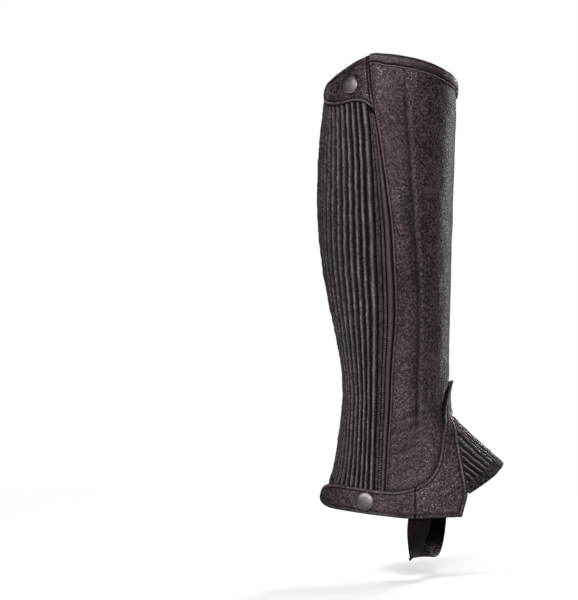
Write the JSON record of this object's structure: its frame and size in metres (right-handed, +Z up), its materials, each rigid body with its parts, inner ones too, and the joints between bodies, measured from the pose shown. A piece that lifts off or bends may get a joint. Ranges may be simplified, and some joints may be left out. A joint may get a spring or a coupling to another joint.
{
  "type": "half chap",
  "caption": "Leather half chap for the right leg: a hollow tube with pleated elastic at the back, a side zip under two snap straps, a ribbed toe piece and a foot strap.",
  "frame": {"origin": "middle of the calf hollow where it is widest, where the wearer's leg holds the half chap", "axes": "+X towards the toe, -Y towards the outer side of the leg, +Z up the leg"},
  "size_m": [0.168, 0.1062, 0.448],
  "materials": {
    "leather": "grained black-brown leather, half gloss",
    "pleated_leather": "soft leather gathered on elastic",
    "piping": "smooth rolled leather",
    "binding": "smooth rolled leather binding",
    "zip": "woven zip tape and coil",
    "toe_edging": "matt suede-like edging",
    "elastic": "ribbed elastic webbing",
    "snap_metal": "gunmetal, softly domed"
  },
  "bodies": {
    "root": {"main_leather": "leather", "pleated_calf": "pleated_leather", "zip_guard": "piping", "zip_teeth": "zip", "zip_edge_strip": "zip", "zip_tape": "zip", "top_binding": "binding", "hem_binding": "binding", "calf_patch": "leather", "ankle_piece": "leather", "lower_strap": "leather", "upper_tab": "leather", "toe_piece": "pleated_leather", "toe_binding": "toe_edging", "foot_strap": "elastic", "upper_snap": "snap_metal", "lower_snap": "snap_metal"}
  },
  "joints": []
}
